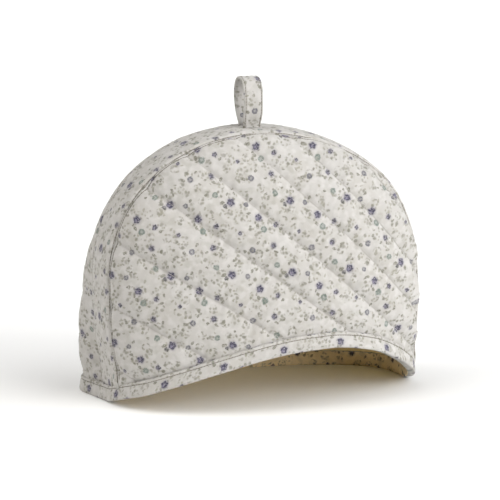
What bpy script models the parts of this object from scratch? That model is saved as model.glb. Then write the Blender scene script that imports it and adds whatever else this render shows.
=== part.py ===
"""Quilted tea cosy: two quilted panels, a gusset strip between them, a hem band and a hanging loop.

X runs along the width, -Y is the front, +Z is up. The origin is on the table under the middle.
The hem stands on the table at the back and at both ends, and its front rises in a low arch.
"""

import bmesh
import bpy
from math import cos, exp, radians, sin
from mathutils import Vector

CM = 0.01
MM = 0.001

# Driving dimensions

GUSSET_WIDTH = 4.2 * CM
DOME_CENTRE_HEIGHT = 9.8 * CM
FRONT_DEPTH = 6.5 * CM
BACK_DEPTH = 7.7 * CM
BACK_SHOULDER = 0.6 * CM
BAND_HEIGHT = 1.5 * CM
FRONT_ARCH_HEIGHT = 5.6 * CM
FRONT_SEAM_SHARE = 0.98

# Under the gusset the hem comes down to the table over this share of its width.
GUSSET_CONTACT = 0.5
GUSSET_CONTACT_CURVE = 1.6

PANEL_THICKNESS = 6.0 * MM
GUSSET_THICKNESS = 4.0 * MM
GUSSET_CROWN = 1.6 * MM
BAND_THICKNESS = 7.0 * MM
BAND_PROUD = 1.2 * MM
BAND_FLARE = 1.8 * MM
PIECE_GAP = 0.4 * MM
BAND_GAP = 0.9 * MM
LOOP_GAP = 0.8 * MM

QUILT_VALLEY = 2.4 * MM
QUILT_VALLEY_WIDTH = 7.0 * MM

LOOP_WIDTH = 1.9 * CM
LOOP_THICKNESS = 2.8 * MM
LOOP_X = -1.25 * CM

COLUMNS = 52
PANEL_ROWS = 16
GUSSET_ROWS = 4
LOOP_STEPS = 28

# How full each panel stands near its seam: below 0.5 it is boxier than an ellipse.
FRONT_FULLNESS = 0.58
BACK_FULLNESS = 0.46

# How the front's foot bends round in plan: from the middle's flat run to the tighter ends.
FRONT_MIDDLE_CURVE = 2.4
FRONT_END_CURVE = 0.8

# How the back's foot bends round in plan: 2 is an ellipse and more is boxier. The swell is how
# far its cloth stands out beyond the seam, in centimetres.
BACK_FOOT = {"left": {"boxy": 3.4, "swell": 1.5}, "right": {"boxy": 2.25, "swell": 0.0}}
BACK_COLUMN_CURVE = 1.4

# The share of a seam, up from its foot, over which the cloth's outward direction turns level.
SEAM_LEVEL_SHARE = 0.12

# The quilting lines, seen square on: the height in centimetres at which each one crosses
# the middle, and how steeply it falls to the right, in degrees.
QUILT_ROWS = (
    {"height": -4.6, "slope": 28},
    {"height": 0.6, "slope": 30},
    {"height": 6.2, "slope": 32},
    {"height": 11.5, "slope": 37},
    {"height": 16.5, "slope": 41},
    {"height": 21.8, "slope": 44},
    {"height": 27.4, "slope": 47},
    {"height": 33.2, "slope": 49},
)

# The dome that both seams follow: the angle above the level of the dome's centre, in
# degrees, and the radius of the seam there on the left and on the right, in centimetres.
DOME_ROWS = (
    {"angle": -40, "left": 18.9, "right": 19.5},
    {"angle": -30, "left": 17.6, "right": 18.0},
    {"angle": -20, "left": 16.6, "right": 16.5},
    {"angle": 0, "left": 16.1, "right": 15.7},
    {"angle": 20, "left": 16.7, "right": 15.95},
    {"angle": 40, "left": 16.9, "right": 16.25},
    {"angle": 60, "left": 16.5, "right": 15.9},
    {"angle": 75, "left": 16.1, "right": 15.7},
    {"angle": 90, "left": 15.8, "right": 15.8},
)

# How high the hem's lower edge stands along the front, as a share of the arch's height,
# from the left end of the front (-1) to the right end (1).
ARCH_ROWS = (
    {"along": -1.00, "share": 0.14},
    {"along": -0.90, "share": 0.23},
    {"along": -0.70, "share": 0.45},
    {"along": -0.40, "share": 0.73},
    {"along": -0.10, "share": 0.93},
    {"along": 0.15, "share": 1.00},
    {"along": 0.35, "share": 0.99},
    {"along": 0.60, "share": 0.83},
    {"along": 0.80, "share": 0.56},
    {"along": 0.90, "share": 0.36},
    {"along": 1.00, "share": 0.16},
)

# The hanging loop in side view, from its front foot over the top to its rear foot.
LOOP_ROWS = (
    {"step": 0, "y": -0.50, "z": 0.00},
    {"step": 1, "y": -0.52, "z": 0.35},
    {"step": 2, "y": -0.95, "z": 1.60},
    {"step": 3, "y": -1.00, "z": 3.00},
    {"step": 4, "y": -0.65, "z": 4.05},
    {"step": 5, "y": 0.25, "z": 4.40},
    {"step": 6, "y": 1.20, "z": 4.15},
    {"step": 7, "y": 1.65, "z": 3.05},
    {"step": 8, "y": 1.30, "z": 1.60},
    {"step": 9, "y": 0.62, "z": 0.40},
    {"step": 10, "y": 0.58, "z": 0.00},
)

# The hem band's section: out from the cloth's face and up from the lower edge, as shares
# of the flare, the band's thickness and the band's height.
BAND_ROWS = (
    {"face": "outer", "flare": 0.3, "up": 1.00},
    {"face": "outer", "flare": 0.6, "up": 0.88},
    {"face": "outer", "flare": 0.8, "up": 0.45},
    {"face": "outer", "flare": 1.0, "up": 0.12},
    {"face": "outer", "flare": 0.4, "up": 0.00},
    {"face": "inner", "flare": -0.4, "up": 0.00},
    {"face": "inner", "flare": 0.0, "up": 0.12},
    {"face": "inner", "flare": 0.0, "up": 0.90},
    {"face": "inner", "flare": -0.3, "up": 1.00},
)


def smooth_rows(rows, key, column, at):
    """Reads one column of a table at any place, on a smooth curve through its rows."""
    keys = [row[key] for row in rows]
    values = [row[column] for row in rows]
    at = min(max(at, keys[0]), keys[-1])
    i = 0
    while i < len(keys) - 2 and at > keys[i + 1]:
        i += 1
    slopes = []
    for j in (i, i + 1):
        before, after = max(j - 1, 0), min(j + 1, len(keys) - 1)
        slopes.append((values[after] - values[before]) / (keys[after] - keys[before]))
    span = keys[i + 1] - keys[i]
    t = (at - keys[i]) / span
    return (
        values[i] * (2 * t**3 - 3 * t**2 + 1)
        + slopes[0] * span * (t**3 - 2 * t**2 + t)
        + values[i + 1] * (3 * t**2 - 2 * t**3)
        + slopes[1] * span * (t**3 - t**2)
    )


def side_of(along):
    """Name of the dome's side and its sign, for a place from -1 (left) to 1 (right)."""
    return ("left", -1) if along < 0 else ("right", 1)


def dome_point(angle, side, face):
    """The seam's x and z at an angle in degrees; the front seam runs a little lower."""
    radius = smooth_rows(DOME_ROWS, "angle", side, angle) * CM
    if face == "front":
        radius *= FRONT_SEAM_SHARE
    sign = -1 if side == "left" else 1
    return sign * radius * cos(radians(angle)), DOME_CENTRE_HEIGHT + radius * sin(radians(angle))


def foot_angle(side, face, height):
    """The angle at which the seam comes down to a height, found by halving."""
    low, high = -40.0, 0.0
    for _ in range(30):
        middle = (low + high) / 2
        if dome_point(middle, side, face)[1] < height:
            low = middle
        else:
            high = middle
    return (low + high) / 2


def front_lift(along):
    """Height of the hem's lower edge along the front."""
    return FRONT_ARCH_HEIGHT * smooth_rows(ARCH_ROWS, "along", "share", along)


def gusset_lift(along, across):
    """Height of the hem's lower edge under the gusset, from its front (0) to its back (1)."""
    return front_lift(along) * max(0.0, 1 - across / GUSSET_CONTACT) ** GUSSET_CONTACT_CURVE


def seam_foot(along, face):
    """Angle at the lower end of a seam, on the side that a place lies on."""
    side, sign = side_of(along)
    lift = front_lift(sign) if face == "front" else 0.0
    return foot_angle(side, face, lift + BAND_HEIGHT)


FOOT_ANGLES = {
    (side, face): seam_foot(sign, face)
    for side, sign in (("left", -1), ("right", 1))
    for face in ("front", "back")
}


def seam_xz(along, face):
    """A place on the front or back seam, from its left foot (-1) over the top to its right (1)."""
    side = side_of(along)[0]
    angle = 90 - abs(along) * (90 - FOOT_ANGLES[(side, face)])
    return dome_point(angle, side, face)


def seam_normal(along, face):
    """Outward direction at a seam, square to it and level at its feet."""
    step = 0.01
    before, after = max(along - step, -1), min(along + step, 1)
    ax, az = seam_xz(before, face)
    bx, bz = seam_xz(after, face)
    level = min(1.0, (1 - abs(along)) / SEAM_LEVEL_SHARE)
    return Vector((az - bz, 0, (bx - ax) * level)).normalized()


def front_foot(along):
    """A place on the line where the front panel meets the hem band."""
    side, sign = side_of(along)
    reach = abs(dome_point(FOOT_ANGLES[(side, "front")], side, "front")[0])
    share = (abs(along) + sin(radians(90) * abs(along))) / 2
    depth = FRONT_DEPTH * max(0.0, 1 - share**FRONT_MIDDLE_CURVE) ** FRONT_END_CURVE
    return Vector((sign * reach * share, -GUSSET_WIDTH / 2 - depth, front_lift(sign * share) + BAND_HEIGHT))


def back_foot(along):
    """A place on the line where the back panel meets the hem band."""
    side, sign = side_of(along)
    reach = abs(dome_point(FOOT_ANGLES[(side, "back")], side, "back")[0])
    boxy, swell = BACK_FOOT[side]["boxy"], BACK_FOOT[side]["swell"] * CM
    turn = radians(90) * (1 - abs(along)) ** BACK_COLUMN_CURVE
    depth = BACK_DEPTH * sin(turn) ** (2 / boxy)
    out = reach * cos(turn) ** (2 / boxy) + swell * sin(radians(180) * depth / BACK_DEPTH)
    return Vector((sign * out, GUSSET_WIDTH / 2 + depth, BAND_HEIGHT))


PANELS = {
    "front_panel": {"face": "front", "sign": -1, "foot": front_foot, "fullness": FRONT_FULLNESS},
    "back_panel": {"face": "back", "sign": 1, "foot": back_foot, "fullness": BACK_FULLNESS},
}


def panel_surface(panel, along, up):
    """A panel's face before it is quilted: up is 0 at the hem band and 1 at the seam."""
    foot = panel["foot"](along)
    x, z = seam_xz(along, panel["face"])
    depth = abs(foot.y) - GUSSET_WIDTH / 2
    y = GUSSET_WIDTH / 2 + PIECE_GAP / 2 + depth * (1 - up**2) ** panel["fullness"]
    x = foot.x + (x - foot.x) * up
    if panel["face"] == "back" and along < 0:
        x -= BACK_SHOULDER * sin(radians(180) * up) * sin(radians(180) * -along)
    return Vector((x, panel["sign"] * y, foot.z + (z - foot.z) * up))


def band_line():
    """The line round the hem band's top: its places, the hem's height there and the way out."""
    places = [-1 + 2 * i / COLUMNS for i in range(COLUMNS + 1)]
    shares = [j / GUSSET_ROWS for j in range(1, GUSSET_ROWS)]
    line = [{"face": "front", "at": i, "point": front_foot(a)} for i, a in enumerate(places)]
    for stop in line:
        stop["lift"] = stop["point"].z - BAND_HEIGHT
    for side, sign, across_list in (("right", 1, shares), ("left", -1, shares[::-1])):
        if side == "left":
            for i in range(COLUMNS, -1, -1):
                line.append({"face": "back", "at": i, "point": back_foot(places[i]), "lift": 0.0})
        for across in across_list:
            point = front_foot(sign).lerp(back_foot(sign), across)
            lift = gusset_lift(sign, across)
            line.append({"face": side, "at": round(across * GUSSET_ROWS), "point": point, "lift": lift})
    for i, stop in enumerate(line):
        before, after = line[i - 1]["point"], line[(i + 1) % len(line)]["point"]
        stop["out"] = Vector((after.y - before.y, before.x - after.x, 0)).normalized()
    return line


BAND_LINE = band_line()
for corner in BAND_LINE:
    if corner["face"] in ("front", "back") and corner["at"] in (0, COLUMNS):
        corner["out"] = Vector((-1 if corner["at"] == 0 else 1, 0, 0))
OUT_AT = {(stop["face"], stop["at"]): stop["out"] for stop in BAND_LINE}
for side, column in (("left", 0), ("right", COLUMNS)):
    OUT_AT[(side, 0)] = OUT_AT[("front", column)]
    OUT_AT[(side, GUSSET_ROWS)] = OUT_AT[("back", column)]


def column_of(along):
    """Which column of a panel a place lies in."""
    return round((along + 1) / 2 * COLUMNS)


def panel_normal(panel, along, up):
    """Outward direction of a panel's face."""
    if up < 0.001 or abs(along) > 0.999:
        return OUT_AT[(panel["face"], column_of(along))]
    if up > 0.999:
        return seam_normal(along, panel["face"])
    step = 0.004
    rise = panel_surface(panel, along, up + step) - panel_surface(panel, along, up - step)
    run = panel_surface(panel, along + step, up) - panel_surface(panel, along - step, up)
    normal = (run.cross(rise) * -panel["sign"]).normalized()
    above_band = panel_surface(panel, along, up).z - panel["foot"](along).z
    normal.z *= min(1.0, above_band / (2 * PANEL_THICKNESS))
    return normal.normalized()


def quilt_valley(x, z):
    """How far the stitched lines draw the cloth in, from 0 between them to 1 on a line."""
    nearest = min(
        abs((z - row["height"] * CM) * cos(radians(row["slope"])) + x * sin(radians(row["slope"])))
        for row in QUILT_ROWS
    )
    return exp(-((nearest / QUILT_VALLEY_WIDTH) ** 2))


def cloth_material(name, colour, roughness):
    """A plain cloth material."""
    material = bpy.data.materials.new(name)
    material.use_nodes = True
    shader = material.node_tree.nodes["Principled BSDF"]
    shader.inputs["Base Color"].default_value = (*colour, 1)
    shader.inputs["Roughness"].default_value = roughness
    shader.inputs["Metallic"].default_value = 0
    return material


def bent_sheet(name, columns, rows, place, material, collection):
    """A closed sheet: a flat two-layer grid, each point moved to where place() puts it."""
    bm = bmesh.new()
    bmesh.ops.create_grid(bm, x_segments=columns, y_segments=rows, size=1.0)
    copied = bmesh.ops.extrude_face_region(bm, geom=bm.faces[:], use_keep_orig=True)
    layer = [item for item in copied["geom"] if isinstance(item, bmesh.types.BMVert)]
    bmesh.ops.translate(bm, verts=layer, vec=(0, 0, -1))
    for vert in bm.verts:
        vert.co = place(vert.co.x, (vert.co.y + 1) / 2, vert.co.z < -0.5)
    bmesh.ops.remove_doubles(bm, verts=bm.verts, dist=0.00002)
    bmesh.ops.recalc_face_normals(bm, faces=bm.faces)
    mesh = bpy.data.meshes.new(name)
    bm.to_mesh(mesh)
    bm.free()
    mesh.shade_smooth()
    mesh.set_sharp_from_angle(angle=radians(50))
    mesh.materials.append(material)
    sheet = bpy.data.objects.new(name, mesh)
    collection.objects.link(sheet)
    return sheet


def make_panel(name, material, collection):
    """A quilted panel, thinner where its stitched lines draw the two faces together."""
    panel = PANELS[name]

    def place(along, up, inside):
        height = sin(radians(90) * up)
        point = panel_surface(panel, along, height)
        normal = panel_normal(panel, along, height)
        edge = min(1.0, 8 * min(up, 1 - up), 8 * (1 - abs(along)))
        drawn = QUILT_VALLEY * quilt_valley(panel["sign"] * -point.x, point.z) * max(edge, 0.0)
        return point - normal * (PANEL_THICKNESS - drawn * 0.5 if inside else drawn)

    return bent_sheet(name, COLUMNS, PANEL_ROWS, place, material, collection)


def gusset_point(along, across, depth):
    """A place on the gusset, from its front seam (0) to its back one (1), a depth under its face."""
    front_x, front_z = seam_xz(along, "front")
    back_x, back_z = seam_xz(along, "back")
    point = Vector((front_x, 0, front_z)).lerp(Vector((back_x, 0, back_z)), across)
    point.y = (across - 0.5) * (GUSSET_WIDTH - PIECE_GAP)
    normal = seam_normal(along, "front").lerp(seam_normal(along, "back"), across).normalized()
    if abs(along) > 0.999:
        normal = OUT_AT[(side_of(along)[0], round(across * GUSSET_ROWS))]
    crown = GUSSET_CROWN * (1 - (2 * across - 1) ** 2) * min(1.0, 6 * (1 - abs(along)))
    return point + normal * (crown - depth)


def make_gusset(material, collection):
    """The strip between the two seams, a little crowned across its width."""

    def place(along, across, inside):
        return gusset_point(along, across, GUSSET_THICKNESS if inside else 0)

    return bent_sheet("gusset", COLUMNS, GUSSET_ROWS, place, material, collection)


def make_hem_band(material, collection):
    """The folded band round the lower edge: a closed ring with a flat foot."""
    bm = bmesh.new()
    rings = []
    for stop in BAND_LINE:
        point, out, lift = stop["point"], stop["out"], stop["lift"]
        ring = []
        for row in BAND_ROWS:
            offset = BAND_PROUD + BAND_FLARE * row["flare"]
            if row["face"] == "inner":
                offset = BAND_PROUD - BAND_THICKNESS - BAND_FLARE * row["flare"]
            top = point.z - BAND_GAP
            height = lift + (top - lift) * row["up"]
            ring.append(bm.verts.new((point.x + out.x * offset, point.y + out.y * offset, height)))
        rings.append(ring)
    size = len(BAND_ROWS)
    for i, ring in enumerate(rings):
        following = rings[(i + 1) % len(rings)]
        for j in range(size):
            k = (j + 1) % size
            bm.faces.new((ring[j], ring[k], following[k], following[j]))
    bmesh.ops.recalc_face_normals(bm, faces=bm.faces)
    mesh = bpy.data.meshes.new("hem_band")
    bm.to_mesh(mesh)
    bm.free()
    mesh.shade_smooth()
    mesh.set_sharp_from_angle(angle=radians(50))
    mesh.materials.append(material)
    band = bpy.data.objects.new("hem_band", mesh)
    collection.objects.link(band)
    return band


def make_loop(material, collection):
    """The folded loop that stands on the gusset's top, open sideways."""
    last = LOOP_ROWS[-1]["step"]

    def path(share):
        y = smooth_rows(LOOP_ROWS, "step", "y", share * last) * CM
        z = smooth_rows(LOOP_ROWS, "step", "z", share * last) * CM
        gusset_top = gusset_point(0, 0.5 + y / GUSSET_WIDTH, 0).z
        return Vector((0, y, gusset_top + LOOP_GAP + z))

    def place(across, share, inside):
        ends = max(share - 0.005, 0), min(share + 0.005, 1)
        run = path(ends[1]) - path(ends[0])
        if share < 0.001 or share > 0.999:
            run.y = 0
        out = Vector((0, -run.z, run.y)).normalized()
        point = path(share) + out * (0 if inside else LOOP_THICKNESS)
        point.x = LOOP_X + across * LOOP_WIDTH / 2
        return point

    return bent_sheet("loop", 2, LOOP_STEPS, place, material, collection)


def centre_on_origin(pieces):
    """Moves all pieces together so that the origin lies under the middle of the whole."""
    points = [vert.co for piece in pieces for vert in piece.data.vertices]
    for axis in (0, 1):
        low, high = min(p[axis] for p in points), max(p[axis] for p in points)
        for piece in pieces:
            piece.location[axis] = -(low + high) / 2


def main():
    for old in list(bpy.data.objects):
        bpy.data.objects.remove(old, do_unlink=True)
    collection = bpy.data.collections.new("tea_cosy")
    bpy.context.scene.collection.children.link(collection)
    quilted = cloth_material("quilted_cotton", (0.74, 0.72, 0.68), 0.9)
    plain = cloth_material("plain_cotton", (0.72, 0.70, 0.66), 0.9)
    for name in PANELS:
        make_panel(name, quilted, collection)
    make_gusset(quilted, collection)
    make_hem_band(plain, collection)
    make_loop(plain, collection)
    centre_on_origin(collection.objects)


main()
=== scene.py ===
"""Looks of a quilted tea cosy: its printed cotton, lining, quilting, seams, stitches and studio.

Each piece is sewn finer on the shape of its solid in the frame: -Y is the front and +Z is up.
"""

from functools import partial

import bmesh
import bpy
import numpy as np
from bpy.props import FloatProperty, FloatVectorProperty, PointerProperty
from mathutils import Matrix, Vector


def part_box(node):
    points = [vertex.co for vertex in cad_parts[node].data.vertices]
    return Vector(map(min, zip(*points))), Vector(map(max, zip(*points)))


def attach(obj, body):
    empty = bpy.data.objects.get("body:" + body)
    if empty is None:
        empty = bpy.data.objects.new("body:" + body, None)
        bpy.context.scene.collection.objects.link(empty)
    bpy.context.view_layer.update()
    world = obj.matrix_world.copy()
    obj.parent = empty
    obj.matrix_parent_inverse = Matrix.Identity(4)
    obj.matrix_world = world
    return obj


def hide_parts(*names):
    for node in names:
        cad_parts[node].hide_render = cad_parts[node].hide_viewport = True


bl_info = {
    "name": "Tea Cosy",
    "version": (1, 0, 0),
    "blender": (4, 5, 0),
    "location": "3D View > Sidebar > Tea Cosy",
    "description": "Sews a quilted tea cosy of printed cotton over its frame",
    "category": "Object",
}

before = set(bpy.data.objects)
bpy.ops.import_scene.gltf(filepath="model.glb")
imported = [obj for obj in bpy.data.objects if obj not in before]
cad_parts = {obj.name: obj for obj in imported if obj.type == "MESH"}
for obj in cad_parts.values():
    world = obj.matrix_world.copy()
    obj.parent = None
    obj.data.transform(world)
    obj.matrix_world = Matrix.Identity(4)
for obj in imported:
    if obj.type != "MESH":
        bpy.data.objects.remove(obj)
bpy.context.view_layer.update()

CM = 0.01
MM = 0.001

# The shape, as in the part's source

GUSSET_WIDTH = 4.2 * CM
PIECE_GAP = 0.4 * MM
DOME_CENTRE_HEIGHT = 9.8 * CM
FRONT_DEPTH = 6.5 * CM
BACK_DEPTH = 7.7 * CM
BACK_SHOULDER = 0.6 * CM
BAND_HEIGHT = 1.5 * CM
FRONT_ARCH_HEIGHT = 5.6 * CM
SEAM_SHARE = {"front": 0.98, "back": 1.0}
FULLNESS = {"front": 0.58, "back": 0.46}
QUILT_SHARE = {"front": 1.0, "back": 0.6}
SEAM_CALM = {"front": 0.0, "back": 0.7}
CALM_REACH = 30.0 * MM
DEPTH_SIGN = {"front": -1, "back": 1}
GUSSET_CONTACT = 0.5
GUSSET_CONTACT_CURVE = 1.6
FRONT_MIDDLE_CURVE = 2.4
FRONT_END_CURVE = 0.8
BACK_FOOT = {-1: {"boxy": 3.4, "swell": 1.5}, 1: {"boxy": 2.25, "swell": 0.0}}
BACK_COLUMN_CURVE = 1.4
SEAM_LEVEL_SHARE = 0.12

PANEL_THICKNESS = 6.0 * MM
GUSSET_THICKNESS = 4.0 * MM
GUSSET_CROWN = 1.6 * MM
LOOP_WIDTH = 1.9 * CM
LOOP_THICKNESS = 2.8 * MM
LOOP_X = -1.25 * CM
LOOP_GAP = 0.2 * MM

# The quilting lines, seen square on: the height in centimetres at which each one crosses
# the middle, and how steeply it falls to the right, in degrees.
QUILT_ROWS = (
    {"height": -4.6, "slope": 28},
    {"height": 0.6, "slope": 30},
    {"height": 6.2, "slope": 32},
    {"height": 11.5, "slope": 37},
    {"height": 16.5, "slope": 41},
    {"height": 21.8, "slope": 44},
    {"height": 27.4, "slope": 47},
    {"height": 33.2, "slope": 49},
)

# The radius of the seams' dome at an angle above its centre's level, in centimetres.
DOME_ROWS = (
    {"angle": -40, "left": 18.9, "right": 19.5},
    {"angle": -30, "left": 17.6, "right": 18.0},
    {"angle": -20, "left": 16.6, "right": 16.5},
    {"angle": 0, "left": 16.1, "right": 15.7},
    {"angle": 20, "left": 16.7, "right": 15.95},
    {"angle": 40, "left": 16.9, "right": 16.25},
    {"angle": 60, "left": 16.5, "right": 15.9},
    {"angle": 75, "left": 16.1, "right": 15.7},
    {"angle": 90, "left": 15.8, "right": 15.8},
)

# How high the hem's lower edge stands along the front, as a share of the arch's height.
ARCH_ROWS = (
    {"along": -1.00, "share": 0.14},
    {"along": -0.90, "share": 0.23},
    {"along": -0.70, "share": 0.45},
    {"along": -0.40, "share": 0.73},
    {"along": -0.10, "share": 0.93},
    {"along": 0.15, "share": 1.00},
    {"along": 0.35, "share": 0.99},
    {"along": 0.60, "share": 0.83},
    {"along": 0.80, "share": 0.56},
    {"along": 0.90, "share": 0.36},
    {"along": 1.00, "share": 0.16},
)

# The hanging loop in side view, in centimetres, from its front foot to its rear foot.
LOOP_ROWS = (
    {"step": 0, "y": -0.50, "z": 0.00},
    {"step": 1, "y": -0.52, "z": 0.35},
    {"step": 2, "y": -0.95, "z": 1.60},
    {"step": 3, "y": -1.00, "z": 3.00},
    {"step": 4, "y": -0.65, "z": 4.05},
    {"step": 5, "y": 0.25, "z": 4.40},
    {"step": 6, "y": 1.20, "z": 4.15},
    {"step": 7, "y": 1.65, "z": 3.05},
    {"step": 8, "y": 1.30, "z": 1.60},
    {"step": 9, "y": 0.62, "z": 0.40},
    {"step": 10, "y": 0.58, "z": 0.00},
)

# The hem band's section in millimetres: out from the cloth's face and down from its top.
BAND_SECTION = (
    {"out": -4.2, "down": 0.5},
    {"out": -1.6, "down": 0.2},
    {"out": -0.3, "down": 0.2},
    {"out": 0.5, "down": 0.5},
    {"out": 1.05, "down": 1.0},
    {"out": 1.3, "down": 1.6},
    {"out": 1.25, "down": 2.2},
    {"out": 0.95, "down": 2.7},
    {"out": 0.65, "down": 3.1},
    {"out": 0.95, "down": 3.5},
    {"out": 1.4, "down": 4.1},
    {"out": 1.7, "down": 5.2},
    {"out": 1.95, "down": 7.0},
    {"out": 2.2, "down": 9.0},
    {"out": 2.5, "down": 11.0},
    {"out": 2.7, "down": 12.8},
    {"out": 2.55, "down": 14.0},
    {"out": 2.0, "down": 14.7},
    {"out": 1.2, "down": 15.0},
    {"out": -1.8, "down": 15.0},
    {"out": -4.8, "down": 15.0},
    {"out": -5.5, "down": 14.5},
    {"out": -5.8, "down": 13.6},
    {"out": -5.8, "down": 10.5},
    {"out": -5.8, "down": 6.0},
    {"out": -5.8, "down": 2.5},
    {"out": -5.4, "down": 0.9},
    {"out": -4.6, "down": 0.5},
)
BAND_TURN_ROW = 20
BAND_STITCH_ROW = 8

# How far the panels and the gusset reach down behind the band, and how far in from their face.
TUCK_DOWN = 5.0 * MM
TUCK_IN = 1.6 * MM

# How much of the quilting's depth shows on the lining, and the deepest that it may go.
LINING_DRAW = 0.15
DEEPEST = 4.7 * MM

# The length over which the hem band's line is eased, and how softly it turns at the seams.
BAND_EASE = 5.0 * MM
CORNER_EASE = 17.0 * MM
CORNER_REACH = 26.0 * MM

# How finely the pieces are sewn: steps along and across each one.
PANEL_COLUMNS = 390
PANEL_ROWS = 215
GUSSET_COLUMNS = 420
GUSSET_ROWS = 36
BAND_STEPS = 1000
LOOP_COLUMNS = 28
LOOP_STEPS = 120
LINING_STEP = 8
FLATTEN_STEP = 5
FLATTEN_ROUNDS = 2200

# How much of the front's print keeps the even spacing that it has seen from the camera.
PRINT_EVENNESS = {"front": 0.6, "back": 0.0}
PRINT_VIEW = {"front": 19.0, "back": 180.0}

# The share of each stretch's error that one round of flattening takes away.
FLATTEN_PULL = 0.16

# The photo's viewing angle, in degrees, and the point that the camera looks at, in metres.
CAMERA_TURN = 19
CAMERA_DROP = 10
CAMERA_TARGET = (-0.0073, -0.006, 0.1377)
FLOOR_REACH = 30.0


def table_curve(rows, key, column, at):
    """Reads one column of a table at many places, on a smooth curve through its rows."""
    keys = np.array([row[key] for row in rows], float)
    values = np.array([row[column] for row in rows], float)
    before = np.maximum(np.arange(len(keys)) - 1, 0)
    after = np.minimum(np.arange(len(keys)) + 1, len(keys) - 1)
    slopes = (values[after] - values[before]) / (keys[after] - keys[before])
    at = np.clip(at, keys[0], keys[-1])
    i = np.clip(np.searchsorted(keys, at) - 1, 0, len(keys) - 2)
    span = keys[i + 1] - keys[i]
    t = (at - keys[i]) / span
    return (
        values[i] * (2 * t**3 - 3 * t**2 + 1)
        + slopes[i] * span * (t**3 - 2 * t**2 + t)
        + values[i + 1] * (3 * t**2 - 2 * t**3)
        + slopes[i + 1] * span * (t**3 - t**2)
    )


def smooth(value):
    """Eases a share from 0 to 1."""
    value = np.clip(value, 0, 1)
    return value * value * (3 - 2 * value)


def unit(vectors):
    """The same directions with length 1."""
    return vectors / np.maximum(np.linalg.norm(vectors, axis=-1, keepdims=True), 1e-12)


def stack(x, y, z):
    """Three arrays of coordinates as one array of points."""
    return np.stack(np.broadcast_arrays(x, y, z), axis=-1).astype(float)


def side_of(along):
    """-1 on the left of the middle and 1 on its right."""
    return np.where(np.asarray(along) < 0, -1.0, 1.0)


def dome_point(angle, side, face):
    """The seam's x and z at an angle in degrees."""
    left = table_curve(DOME_ROWS, "angle", "left", angle)
    right = table_curve(DOME_ROWS, "angle", "right", angle)
    radius = np.where(side < 0, left, right) * CM * SEAM_SHARE[face]
    turn = np.radians(angle)
    return side * radius * np.cos(turn), DOME_CENTRE_HEIGHT + radius * np.sin(turn)


def front_lift(along):
    """Height of the hem's lower edge along the front."""
    return FRONT_ARCH_HEIGHT * table_curve(ARCH_ROWS, "along", "share", along)


def foot_angle(side, face):
    """The angle at which the seam comes down to the hem band, found by halving."""
    height = BAND_HEIGHT + (front_lift(side) if face == "front" else 0.0)
    low, high = -40.0, 0.0
    for _ in range(30):
        middle = (low + high) / 2
        if dome_point(middle, side, face)[1] < height:
            low = middle
        else:
            high = middle
    return (low + high) / 2


FOOT_ANGLES = {face: {side: foot_angle(side, face) for side in (-1, 1)} for face in SEAM_SHARE}


def seam_xz(along, face):
    """Places on a seam, from its left foot (-1) over the top to its right foot (1)."""
    side = side_of(along)
    foot = np.where(side < 0, FOOT_ANGLES[face][-1], FOOT_ANGLES[face][1])
    return dome_point(90 - np.abs(along) * (90 - foot), side, face)


def seam_normal(along, face):
    """Outward direction at a seam, square to it and level at its feet."""
    ax, az = seam_xz(np.clip(along - 0.01, -1, 1), face)
    bx, bz = seam_xz(np.clip(along + 0.01, -1, 1), face)
    level = np.minimum(1.0, (1 - np.abs(along)) / SEAM_LEVEL_SHARE)
    return unit(stack(az - bz, 0, (bx - ax) * level))


def foot_reach(side, face):
    """How far from the middle a seam's foot stands."""
    reach = [abs(dome_point(FOOT_ANGLES[face][s], s, face)[0]) for s in (-1, 1)]
    return np.where(side < 0, reach[0], reach[1])


def front_foot(along):
    """Places on the line where the front panel meets the hem band."""
    side = side_of(along)
    share = (np.abs(along) + np.sin(np.pi / 2 * np.abs(along))) / 2
    depth = FRONT_DEPTH * np.maximum(0, 1 - share**FRONT_MIDDLE_CURVE) ** FRONT_END_CURVE
    height = front_lift(side * share) + BAND_HEIGHT
    return stack(side * foot_reach(side, "front") * share, -GUSSET_WIDTH / 2 - depth, height)


def back_foot(along):
    """Places on the line where the back panel meets the hem band."""
    side = side_of(along)
    boxy = np.where(side < 0, BACK_FOOT[-1]["boxy"], BACK_FOOT[1]["boxy"])
    swell = np.where(side < 0, BACK_FOOT[-1]["swell"], BACK_FOOT[1]["swell"]) * CM
    turn = np.pi / 2 * (1 - np.abs(along)) ** BACK_COLUMN_CURVE
    depth = BACK_DEPTH * np.sin(turn) ** (2 / boxy)
    out = foot_reach(side, "back") * np.cos(turn).clip(0) ** (2 / boxy)
    out = out + swell * np.sin(np.pi * depth / BACK_DEPTH)
    return stack(side * out, GUSSET_WIDTH / 2 + depth, BAND_HEIGHT)


PANEL_FOOT = {"front": front_foot, "back": back_foot}


def panel_surface(face, along, up):
    """A panel's face before it is quilted: up is 0 at the hem band and 1 at the seam."""
    foot = PANEL_FOOT[face](along)
    x, z = seam_xz(along, face)
    depth = np.abs(foot[..., 1]) - GUSSET_WIDTH / 2
    y = GUSSET_WIDTH / 2 + depth * np.maximum(0, 1 - up**2) ** FULLNESS[face]
    x = foot[..., 0] + (x - foot[..., 0]) * up
    if face == "back":
        shoulder = np.sin(np.pi * up) * np.sin(np.pi * np.maximum(0, -along))
        x = x - BACK_SHOULDER * shoulder
    return stack(x, DEPTH_SIGN[face] * y, foot[..., 2] + (z - foot[..., 2]) * up)


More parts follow.
